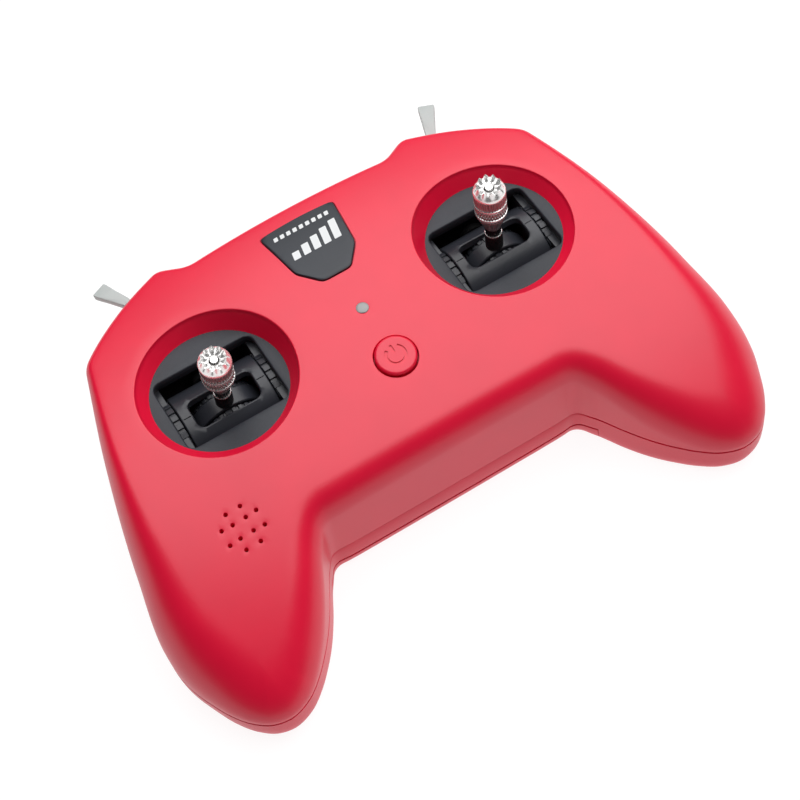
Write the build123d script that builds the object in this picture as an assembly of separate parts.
from build123d import *
from math import cos, radians, sin
import os

# Hand-held two-stick radio transmitter, in millimetres.
# +X is the user's right, +Y points away from the user, +Z up out of the stick face.
# The origin is on the flat underside, on the symmetry plane, below the stick axes.

# ---- driving dimensions -------------------------------------------------------------------
CASE_HEIGHT = 40.0          # underside to the stick face, measured between the two sticks
WALL = 2.2
PARTING_Z = 9.3             # where the two shells meet
SEAM_GAP = 0.05
EDGE_ROUND = 3.0            # rounding where the stick face meets the walls
FOOT_ROUND = 2.0            # rounding along the underside

CROWN_RX = 746.0            # curvature of the stick face seen from the front
CROWN_RY = 150.6            # curvature of the stick face seen from the side
CROWN_PEAK_Y = 6.43         # where the stick face is highest
CROWN_PEAK_Z = CASE_HEIGHT + CROWN_PEAK_Y ** 2 / (2 * CROWN_RY)

STICK_X = 40.0              # each stick's distance from the symmetry plane
PIVOT_Z = 21.7              # height of both gimbal axes
STICK_SWING = 25.0          # degrees each way
THROTTLE_REST = 9.0         # the left stick is parked this far towards the user, in degrees

RIM_R = 20.36               # gimbal bowl, at the stick face
BOWL_FLOOR_R = 17.6
BOWL_FLOOR_Z = 34.06
BOWL_WALL = 1.6

TOGGLE_AT = (44.5, 38.0, 27.0)
TOGGLE_TURN = 24.0          # degrees the shoulder facet faces outwards
TOGGLE_REST = {"left": -12.0, "right": 0.0}     # the left lever is down, the right one in the middle
TOGGLE_PIVOT_Y = 0.3
BUSHING_R = 3.0

BUTTON_Y = -18.85
BUTTON_R = 5.3
BUTTON_PROUD = 1.0
BUTTON_TRAVEL = 0.6

LED_Y = -3.05
LED_R = 1.65

SPEAKER_AT = (-53.2, -36.0)
GRILLE_HOLE_R = 0.53
GRILLE_RINGS = ((5.15, 8, 22.5), (2.55, 4, 45.0))

RECESS_Y = -42.3            # front wall between the grips
DOOR_HALF_WIDTH = 35.0
DOOR_LIP_HALF = 41.0        # the lip turns both corners of the recess
DOOR_BACK_Y = -17.0
DOOR_LIP_Z = 3.5
DOOR_THICKNESS = 2.0
DOOR_GAP = 0.2

CASE_SCREWS = ((14.0, 30.5), (-14.0, 30.5), (67.2, -9.0), (-67.2, -9.0), (64.0, -61.0), (-64.0, -61.0))
PCB_Z = 26.0
PCB_THICKNESS = 1.6
PCB_TOP = PCB_Z + PCB_THICKNESS
PCB_SCREWS = ((13.5, -7.0), (-13.5, -7.0), (13.5, 22.0), (-13.5, 22.0))
USB_Z = PCB_TOP + 1.6
SCREW_R = 1.1
SCREW_SEAT_Z = 5.0
CELL_R = 9.1
CELL_Y = -30.5
CELL_Z = 14.2

# Gimbals; heights from here on are above the pivot unless they say otherwise.
FLANGE_TOP = 32.5           # above the underside
FLANGE_THICKNESS = 1.6
FRAME_HALF = 18.0
FRAME_FLOOR = 11.0          # above the underside
SCREW_REACH = 18.5          # flange screws, from the stick axis
GIMBAL_SCREW_R = 1.1
OPENING = (28.1, 21.7, 2.0, -0.4)   # plate opening: width, depth, corner radius, y of its centre
DRUM_R = 11.0
DRUM_WALL = 2.0
DRUM_HALF = 11.8
WINDOW = (17.7, 8.3, 1.7)   # the drum's window: width, depth, corner radius
INNER_R = 9.8
INNER_SIDE_R = 9.2
INNER_HALF = 4.0
TRUNNION_R = 2.0
PIN_R = 1.5
RUNNING = 0.04              # radial clearance of the gimbal bearings
SHAFT_R = 2.1
COLLAR_R = 2.35
COLLAR_Z = (9.9, 14.8)
STUD_R = 1.45
STUD_TOP = 31.5
SLEEVE_Z = (17.6, 23.0)
RING_TOP = 27.0
CROWN_BASE = 33.4
STICK_TOP = 34.5
STICK_END_R = 4.25


# ---- small helpers ------------------------------------------------------------------------
def box(x0, x1, y0, y1, z0, z1):
    """A box from its lowest and highest corners."""
    size = (x1 - x0, y1 - y0, z1 - z0)
    middle = Vector((x0 + x1) / 2, (y0 + y1) / 2, (z0 + z1) / 2)
    return Pos(middle) * Box(*size)


def rod(x, y, z0, z1, radius):
    """A vertical cylinder."""
    return Pos(x, y, (z0 + z1) / 2) * Cylinder(radius, z1 - z0)


def cone(x, y, z0, z1, r0, r1):
    """A vertical cone frustum."""
    return Pos(x, y, (z0 + z1) / 2) * Cone(r0, r1, z1 - z0)


def rod_x(x0, x1, radius):
    """A cylinder along X through the local origin."""
    return Pos((x0 + x1) / 2, 0, 0) * Rot(0, 90, 0) * Cylinder(radius, x1 - x0)


def rod_y(y0, y1, radius):
    """A cylinder along Y through the local origin."""
    return Pos(0, (y0 + y1) / 2, 0) * Rot(90, 0, 0) * Cylinder(radius, y1 - y0)


def tube(outer, inner, z0, z1):
    return rod(0, 0, z0, z1, outer) - rod(0, 0, z0 - 1, z1 + 1, inner)


def rounded_slab(width, depth, radius, z0, z1):
    """A slab with rounded vertical corners, centred on the local origin."""
    return Pos(0, 0, z0) * extrude(RectangleRounded(width, depth, radius), z1 - z0)


def crown_height(x, y):
    """Height of the stick face."""
    return CROWN_PEAK_Z - x ** 2 / (2 * CROWN_RX) - (y - CROWN_PEAK_Y) ** 2 / (2 * CROWN_RY)


def crown_frame(x, y):
    """A location on the stick face with its Z along the outward normal."""
    slope_x = -x / CROWN_RX
    slope_y = -(y - CROWN_PEAK_Y) / CROWN_RY
    normal = Vector(-slope_x, -slope_y, 1).normalized()
    return Plane(origin=(x, y, crown_height(x, y)), x_dir=(1, 0, slope_x), z_dir=normal).location


# ---- case ---------------------------------------------------------------------------------
def half_outline():
    """The right half of the case seen from above."""
    back = Spline((0, 37.8), (15, 37.5), (29.5, 36.6), tangents=[(1, 0), (1, -0.1)])
    step = Line((29.5, 36.6), (36.6, 41.0))
    facet = Spline((36.6, 41.0), (51.5, 34.4), (65.4, 24.5), tangents=[(0.95, -0.3), (0.72, -0.69)])
    grip = Spline(
        (65.4, 24.5), (73.3, -1), (80.4, -27), (83.9, -46), (79.9, -65.8),
        (66.5, -74.4), (52.0, -66.4), (39.1, -48.3),
        tangents=[(0.25, -0.97), (-0.5, 0.86)],
    )
    corner = Line((39.1, -48.3), (35.2, RECESS_Y))
    front = Line((35.2, RECESS_Y), (0, RECESS_Y))
    return [back, step, facet, grip, corner, front]


def resplined(edge):
    """The same edge as a plain spline where it is an offset curve, as STEP files need."""
    if edge.geom_type != GeomType.OFFSET:
        return edge
    spans = 24
    return Edge.make_spline([edge @ (k / spans) for k in range(spans + 1)])


def case_sketch(inset=0.0):
    """The case seen from above, moved inwards by inset."""
    edges = half_outline()
    edges += [mirror(edge, about=Plane.YZ) for edge in edges]
    sketch = Sketch() + make_face(Curve() + edges)
    for x, y, radius in ((35.2, RECESS_Y, 7.0), (29.5, 36.6, 3.0), (36.6, 41.0, 3.0), (65.4, 24.5, 3.0)):
        ends = [v for v in sketch.vertices() if abs(abs(v.X) - x) < 0.01 and abs(v.Y - y) < 0.01]
        sketch = fillet(ends, radius)
    if not inset:
        return sketch
    inner = offset(sketch, -inset, kind=Kind.ARC)
    return Sketch() + make_face(Curve() + [resplined(edge) for edge in inner.edges()])


def over_crown(drop):
    """Everything above the stick face lowered by drop."""
    steps = 8
    grid = []
    for i in range(steps + 1):
        x = -100 + 200 * i / steps
        ys = [-90 + 150 * j / steps for j in range(steps + 1)]
        grid.append([Vector(x, y, crown_height(x, y) - drop) for y in ys])
    face = Face.make_surface_from_array_of_points(grid)
    return Part() + Solid.extrude(face, Vector(0, 0, 90))


def case_solid():
    """The whole case as one rounded solid."""
    body = extrude(case_sketch(), 60) - over_crown(0)
    top_edges = [e for e in body.edges() if e.center().Z > 14 and abs(e.tangent_at(0.5).Z) < 0.6]
    body = fillet(top_edges, EDGE_ROUND)
    foot_edges = [e for e in body.edges() if e.center().Z < 0.1]
    return fillet(foot_edges, FOOT_ROUND)


def case_cavity():
    """The space inside the walls."""
    return Pos(0, 0, WALL) * extrude(case_sketch(WALL), 60) - over_crown(WALL)


def flange_corners():
    """The flange screws of one gimbal, from its stick axis."""
    return [(dx, dy) for dx in (-SCREW_REACH, SCREW_REACH) for dy in (-SCREW_REACH, SCREW_REACH)]


def gimbal_corners():
    """The flange screws of both gimbals, as x, y."""
    spots = []
    for side in (-1, 1):
        spots += [(side * STICK_X + dx, dy) for dx, dy in flange_corners()]
    return spots


def toggle_frame(side):
    """Origin on the shoulder facet, Y straight out of it, Z up."""
    x, y, z = TOGGLE_AT
    return Pos(side * x, y, z) * Rot(0, 0, -side * TOGGLE_TURN)


def badge_prism(grow):
    """The shield outline of the badge, through the whole stick face."""
    top, shoulder, foot = (10.8 + grow, 31.3 + grow), (8.75 + grow, 15.4), (4.05 + grow / 2, 9.35 - grow)
    mirrored = [(-x, y) for x, y in (top, shoulder, foot)]
    crest = ThreePointArc(mirrored[0], (0, 31.9 + grow), top)
    sides = Polyline(top, shoulder, foot, mirrored[2], mirrored[1], mirrored[0])
    outline = Sketch() + make_face(Curve() + [crest, sides])
    corners = [v for v in outline.vertices() if v.Y > 15]
    return Pos(0, 0, 30) * extrude(fillet(corners, 1.0), 20)


def bowl(x):
    """The funnel wall round a stick, before its opening is cut."""
    slope = (RIM_R - BOWL_FLOOR_R) / (CASE_HEIGHT - 1.1 - BOWL_FLOOR_Z)
    height = 8.0
    top_r = BOWL_FLOOR_R + slope * height
    wall = cone(x, 0, BOWL_FLOOR_Z, BOWL_FLOOR_Z + height, BOWL_FLOOR_R + BOWL_WALL, top_r + BOWL_WALL)
    opening = cone(x, 0, BOWL_FLOOR_Z, BOWL_FLOOR_Z + height, BOWL_FLOOR_R, top_r)
    return wall, opening


def top_shell_posts():
    """Every post that hangs from the stick face: x, y, lower end, radius, bore, bore depth."""
    posts = [(x, y, PARTING_Z, 3.2, SCREW_R + 0.02, 8.3) for x, y in CASE_SCREWS]
    posts += [(x, y, FLANGE_TOP, 2.6, GIMBAL_SCREW_R + 0.02, 1.9) for x, y in gimbal_corners()]
    posts += [(x, y, PCB_TOP, 2.4, GIMBAL_SCREW_R + 0.02, 5.0) for x, y in PCB_SCREWS]
    return posts


def make_top_shell(case, cavity):
    speaker_at = crown_frame(*SPEAKER_AT)
    bowls = [bowl(x) for x in (-STICK_X, STICK_X)]
    room = cavity
    for x, y, z, radius, _, _ in top_shell_posts():
        room -= rod(x, y, z, 60, radius)
    for wall, _ in bowls:
        room -= wall
    room -= speaker_at * tube(10.2, 8.8, -3.0, 1.0)
    shell = case - box(-100, 100, -100, 100, -1, PARTING_Z + SEAM_GAP) - room
    for x, y, z, _, bore, depth in top_shell_posts():
        shell -= rod(x, y, z - 1, z + depth, bore)
    for _, opening in bowls:
        shell -= opening
    for ring_r, count, first in GRILLE_RINGS:
        for k in range(count):
            turn = radians(first + 360 * k / count)
            hole = rod(ring_r * cos(turn), ring_r * sin(turn), -6, 3, GRILLE_HOLE_R)
            shell -= speaker_at * hole
    shell -= crown_frame(0, BUTTON_Y) * rod(0, 0, -6, 3, BUTTON_R + 0.3)
    shell -= rod(0, LED_Y, 30, 45, LED_R + 0.03)
    shell -= badge_prism(0.1) & over_crown(0.62)
    for side in (-1, 1):
        shell -= toggle_frame(side) * rod_y(-6, 6, BUSHING_R + 0.1)
    usb_hole = Pos(0, 36, USB_Z) * Rot(90, 0, 0) * extrude(RectangleRounded(9.5, 3.7, 1.8), 5, both=True)
    return shell - usb_hole


def door_tongue(clearance):
    """The dovetail plate of the battery door, grown sideways and backwards by clearance."""
    low = DOOR_HALF_WIDTH + clearance
    high = low + 1.2
    section = Polygon((-low, 0), (low, 0), (high, DOOR_THICKNESS), (-high, DOOR_THICKNESS), align=None)
    length = 60.0
    return Pos(0, DOOR_BACK_Y + clearance, 0) * Rot(90, 0, 0) * extrude(section, length)


def door_lip(clearance):
    """The low front wall that belongs to the door."""
    half = DOOR_LIP_HALF + clearance
    return box(-half, half, -60, RECESS_Y + WALL + clearance, -1, DOOR_LIP_Z + clearance)


def make_battery_door(case):
    return (door_tongue(0) & case) + (door_lip(0) & case)


def make_bottom_shell(case, cavity):
    shell = case - cavity - box(-100, 100, -100, 100, PARTING_Z, 60)
    for x, y in CASE_SCREWS:
        shell += rod(x, y, 1, PARTING_Z, 3.2)
        shell -= rod(x, y, -1, SCREW_SEAT_Z, 2.6)
        shell -= rod(x, y, 0, 12, 1.5)
    slot = door_tongue(DOOR_GAP)
    return shell - slot - Pos(0, 0, 0.3) * slot - door_lip(DOOR_GAP)


def make_case_screws():
    shank = 12.0
    screws = []
    for x, y in CASE_SCREWS:
        head = cone(x, y, SCREW_SEAT_Z - 1.8, SCREW_SEAT_Z, 2.0, 2.4)
        slot = box(x - 1.5, x + 1.5, y - 0.3, y + 0.3, 0, SCREW_SEAT_Z - 1.2)
        cross = box(x - 0.3, x + 0.3, y - 1.5, y + 1.5, 0, SCREW_SEAT_Z - 1.2)
        screws.append(head + rod(x, y, SCREW_SEAT_Z, SCREW_SEAT_Z + shank, SCREW_R) - slot - cross)
    return screws


def make_badge():
    return (badge_prism(0) & over_crown(0.6)) - over_crown(-0.4)


# ---- gimbals, built round the pivot as the local origin --------------------------------------

def plate_opening(grow, z0, z1):
    width, depth, radius, y = OPENING
    return Pos(0, y, 0) * rounded_slab(width + grow, depth + grow, radius, z0, z1)


def make_gimbal_plate():
    top = BOWL_FLOOR_Z - PIVOT_Z
    bottom = FLANGE_TOP - PIVOT_Z
    return rod(0, 0, bottom, top, BOWL_FLOOR_R + 1.9) - plate_opening(0, bottom - 1, top + 1)


def make_gimbal_frame():
    top = FLANGE_TOP - PIVOT_Z
    under = top - FLANGE_THICKNESS
    floor = FRAME_FLOOR - PIVOT_Z
    flange = rounded_slab(42, 42, 2.5, under, top) - plate_opening(0.5, under - 1, top + 1)
    body = rounded_slab(2 * FRAME_HALF, 2 * FRAME_HALF, 2.0, floor, under)
    body -= box(-12.4, 12.4, -15, 15, floor - 1, under + 1)
    frame = flange + body
    frame -= rod_x(-FRAME_HALF - 1, FRAME_HALF + 1, TRUNNION_R + RUNNING)
    for dx, dy in flange_corners():
        frame -= rod(dx, dy, under - 4, top + 1, GIMBAL_SCREW_R + 0.2)
        frame -= rod(dx, dy, floor - 1, under, 2.3)
    return frame


def make_gimbal_screws():
    under = FLANGE_TOP - PIVOT_Z - FLANGE_THICKNESS
    screws = []
    for dx, dy in flange_corners():
        screws.append(rod(dx, dy, under - 1.4, under, 2.1) + rod(dx, dy, under, under + 3.4, GIMBAL_SCREW_R))
    return screws


def make_pitch_sensor(side):
    """A Hall sensor housing over the outer end of the drum's trunnion."""
    disc = rod_x(FRAME_HALF, FRAME_HALF + 3.5, 7.0)
    board = box(FRAME_HALF + 3.5, FRAME_HALF + 4.3, -6, 6, -8, 8)
    sensor = disc + board - rod_x(FRAME_HALF - 1, FRAME_HALF + 1, TRUNNION_R + RUNNING)
    return sensor if side > 0 else sensor.rotate(Axis.Z, 180)


def make_centring_springs():
    springs = []
    for dx in (-8, 8):
        coil = tube(2.0, 1.4, -6, 7)
        lugs = box(-1, 1, -2.2, 2, 7, 8) + box(-1, 1, -2.2, 2, -7, -6)
        springs.append(Pos(dx, FRAME_HALF + 2.2, 0) * (coil + lugs))
    return springs


def make_drum():
    """The cradle that turns about X; the stick leaves through its window."""
    drum = rod_x(-DRUM_HALF, DRUM_HALF, DRUM_R) - rod_x(-10, 10, DRUM_R - DRUM_WALL)
    drum -= box(-20, 20, -20, 20, -20, -4.5)
    drum += rod_x(-17.5, -11, TRUNNION_R) + rod_x(11, 17.5, TRUNNION_R)
    drum += rod_y(9.5, 11.6, 3.0)
    drum -= rounded_slab(*WINDOW, 5, 15)
    for x in (-10.8, 10.8):
        ring = Pos(x, 0, 0) * (rod_x(-0.25, 0.25, DRUM_R + 1) - rod_x(-1, 1, DRUM_R - 0.5))
        drum -= ring
    return drum - rod_y(-12, 12, PIN_R + RUNNING)


def make_roll_sensor():
    return rod_y(11.6, 13.0, 3.5)


def make_inner_drum():
    """The block that turns about Y inside the drum and carries the stick."""
    block = rod_y(-2.4, 2.4, INNER_R) + rod_y(-INNER_HALF, INNER_HALF, INNER_SIDE_R)
    block -= box(-20, 20, -20, 20, -20, -5)
    block += rod_y(-10.8, -3, PIN_R) + rod_y(3, 11.4, PIN_R)
    return block - rod(0, 0, 3, 12, SHAFT_R + 0.02)


def make_stick_shaft():
    shaft = rod(0, 0, 3.0, SLEEVE_Z[0], SHAFT_R) + rod(0, 0, *COLLAR_Z, COLLAR_R)
    return shaft + rod(0, 0, SLEEVE_Z[0], STUD_TOP, STUD_R)


def make_stick_sleeve():
    low, high = SLEEVE_Z
    sleeve = cone(0, 0, low, high, SHAFT_R, 3.5)
    for k in range(4):
        z = low + 0.9 + 1.1 * k
        radius = SHAFT_R + (3.5 - SHAFT_R) * (z - low) / (high - low)
        sleeve += rod(0, 0, z, z + 0.55, radius + 0.3)
    return sleeve - rod(0, 0, 10, 40, STUD_R + 0.02)


def make_stick_ring():
    base = SLEEVE_Z[1]
    ring = rod(0, 0, base, base + 0.5, 3.6) + rod(0, 0, base + 0.5, RING_TOP, STICK_END_R - 0.1)
    return ring - rod(0, 0, 10, 40, STUD_R + 0.02)


def make_stick_end():
    head = rod(0, 0, RING_TOP, RING_TOP + 0.6, 3.5) + rod(0, 0, RING_TOP + 0.6, STICK_TOP, STICK_END_R)
    head -= rod(0, 0, CROWN_BASE, STICK_TOP + 1, 2.3)
    for k in range(12):
        notch = Pos(3.3, 0, STICK_TOP + 0.1) * Rot(45, 0, 0) * Box(4, 1.1, 1.1)
        head -= Rot(0, 0, 30 * k) * notch
    return head - rod(0, 0, 10, STUD_TOP, STUD_R + 0.02) - rod(0, 0, 31, 40, 1.02)


def make_set_screw():
    return rod(0, 0, STUD_TOP + 0.1, STICK_TOP - 0.1, 1.0)


# ---- toggle switches, built in the toggle frame ---------------------------------------------
def make_switch_body():
    body = box(-4, 4, -12, -2.9, -6.5, 6.5) + rod_y(-3, 4.0, BUSHING_R)
    for z in (-4.2, 0, 4.2):
        body += box(-1, 1, -14.6, -12, z - 0.4, z + 0.4)
    return body - rod_y(-1.8, 5, 1.82)


def make_switch_nut():
    nut = Pos(0, 2.4, 0) * Rot(90, 0, 0) * extrude(RegularPolygon(4.0, 6, major_radius=False), 1.9)
    return nut - rod_y(-1, 5, BUSHING_R + 0.02)


def make_toggle_lever():
    neck = rod_y(TOGGLE_PIVOT_Y, 5.0, 0.95)
    ball = Pos(0, TOGGLE_PIVOT_Y, 0) * Sphere(1.72)
    outline = Polygon((-1.3, 4.4), (1.3, 4.4), (2.25, 15.8), (-2.25, 15.8), align=None)
    paddle = fillet(extrude(outline, 0.85, both=True).edges().filter_by(Axis.Z), 0.5)
    return neck + ball + paddle


# ---- electronics --------------------------------------------------------------------------

def make_main_pcb():
    board = box(-17, 17, -26, 26.5, PCB_Z, PCB_TOP) + box(-7, 7, 26, 35.3, PCB_Z, PCB_TOP)
    for x, y in PCB_SCREWS:
        board -= rod(x, y, 20, 30, GIMBAL_SCREW_R + 0.2)
    return board


def make_pcb_screws():
    return [rod(x, y, PCB_Z - 1.4, PCB_Z, 2.1) + rod(x, y, PCB_Z, PCB_TOP + 4, GIMBAL_SCREW_R)
            for x, y in PCB_SCREWS]


def make_usb_socket():
    shell = extrude(RectangleRounded(8.9, 3.2, 1.5), 7.4)
    hollow = Pos(0, 0, -1) * extrude(RectangleRounded(8.3, 2.6, 1.25), 7.4)
    tongue = box(-3.3, 3.3, -0.35, 0.35, 1, 7.4)
    return Pos(0, 37.5, USB_Z) * Rot(90, 0, 0) * (shell - hollow + tongue)


def make_tact_switch():
    y = -17.95
    return box(-3, 3, y - 3, y + 3, PCB_TOP, PCB_TOP + 3.4) + rod(0, y, PCB_TOP + 3, PCB_TOP + 4.2, 1.7)


def make_power_button():
    cap = rod(0, 0, -2.6, BUTTON_PROUD, BUTTON_R)
    cap = fillet(cap.edges().sort_by(Axis.Z)[-1], 0.4)
    return crown_frame(0, BUTTON_Y) * (cap + rod(0, 0, -3.6, -2.55, 6.6) + rod(0, 0, -5.5, -3, 1.5))


def make_led_light_pipe():
    return (rod(0, LED_Y, 29.2, 45, LED_R) - over_crown(0)) + rod(0, LED_Y, 35.8, 37.0, 2.6)


def make_speaker():
    return crown_frame(*SPEAKER_AT) * (rod(0, 0, -7.4, -3.0, 10.0) + rod(0, 0, -10.0, -7.4, 6.0))


def make_battery_bay():
    """An upside-down tray: roof, rear wall and two end walls round the cell."""
    return box(-36.7, 36.7, -40.0, -19.6, 2.4, 25.0) - box(-35.2, 35.2, -41, -21.1, 0, 23.9)


def make_battery_cell():
    middle = Pos(0, CELL_Y, CELL_Z)
    return middle * (rod_x(-32.6, 31.6, CELL_R) + rod_x(31, 32.6, 3.0))


def make_battery_contacts():
    middle = Pos(0, CELL_Y, CELL_Z)
    plus = rod_x(32.6, 34.4, 2.0) + box(34.4, 35.2, -3.5, 3.5, -5, 5)
    minus = rod_x(-34.4, -32.6, 3.5) + box(-35.2, -34.4, -3.5, 3.5, -5, 5)
    return [middle * plus, middle * minus]


# ---- writing the nodes ----------------------------------------------------------------------
def write(name, shape):
    """One STEP file for one named node."""
    solids = shape if isinstance(shape, list) else [shape]
    solids = [piece for item in solids for piece in item.solids()]
    export_step(solids[0] if len(solids) == 1 else Compound(children=solids), f"parts/{name}.step")


def write_gimbal(side_name, side):
    pivot = Pos(side * STICK_X, 0, PIVOT_Z)
    tilt = Rot(THROTTLE_REST, 0, 0) if side < 0 else Rot(0, 0, 0)
    fixed = {
        "gimbal_plate": make_gimbal_plate(),
        "gimbal_frame": make_gimbal_frame(),
        "gimbal_screws": make_gimbal_screws(),
        "pitch_sensor": make_pitch_sensor(side),
        "centring_springs": make_centring_springs(),
    }
    moving = {
        "drum": make_drum(),
        "roll_sensor": make_roll_sensor(),
        "inner_drum": make_inner_drum(),
        "stick_shaft": make_stick_shaft(),
        "stick_sleeve": make_stick_sleeve(),
        "stick_ring": make_stick_ring(),
        "stick_end": make_stick_end(),
        "stick_set_screw": make_set_screw(),
    }
    for name, shape in fixed.items():
        pieces = shape if isinstance(shape, list) else [shape]
        write(f"{side_name}_{name}", [pivot * piece for piece in pieces])
    for name, shape in moving.items():
        write(f"{side_name}_{name}", pivot * tilt * shape)


def write_toggle(side_name, side):
    at = toggle_frame(side)
    write(f"{side_name}_switch_body", at * make_switch_body())
    write(f"{side_name}_switch_nut", at * make_switch_nut())
    hinge = Axis((0, TOGGLE_PIVOT_Y, 0), (1, 0, 0))
    lever = make_toggle_lever().rotate(hinge, TOGGLE_REST[side_name])
    write(f"{side_name}_toggle_lever", at * lever)


def main():
    os.makedirs("parts", exist_ok=True)
    case, cavity = case_solid(), case_cavity()
    write("top_shell", make_top_shell(case, cavity))
    write("bottom_shell", make_bottom_shell(case, cavity))
    write("battery_door", make_battery_door(case))
    write("case_screws", make_case_screws())
    write("badge_plate", make_badge())
    write("power_button", make_power_button())
    write("led_light_pipe", make_led_light_pipe())
    write("status_led", box(-0.8, 0.8, LED_Y - 1.6, LED_Y + 1.6, PCB_TOP, PCB_TOP + 1.0))
    write("speaker", make_speaker())
    write("main_pcb", make_main_pcb())
    write("pcb_screws", make_pcb_screws())
    write("rf_module", box(-8, 8, 2, 20, PCB_Z - 3.0, PCB_Z))
    write("antenna", box(-10.5, 10.5, 34.0, 35.0, 12, 20))
    write("usb_socket", make_usb_socket())
    write("power_tact_switch", make_tact_switch())
    write("battery_bay", make_battery_bay())
    write("battery_cell", make_battery_cell())
    write("battery_contacts", make_battery_contacts())
    for side_name, side in (("left", -1), ("right", 1)):
        write_gimbal(side_name, side)
        write_toggle(side_name, side)


main()
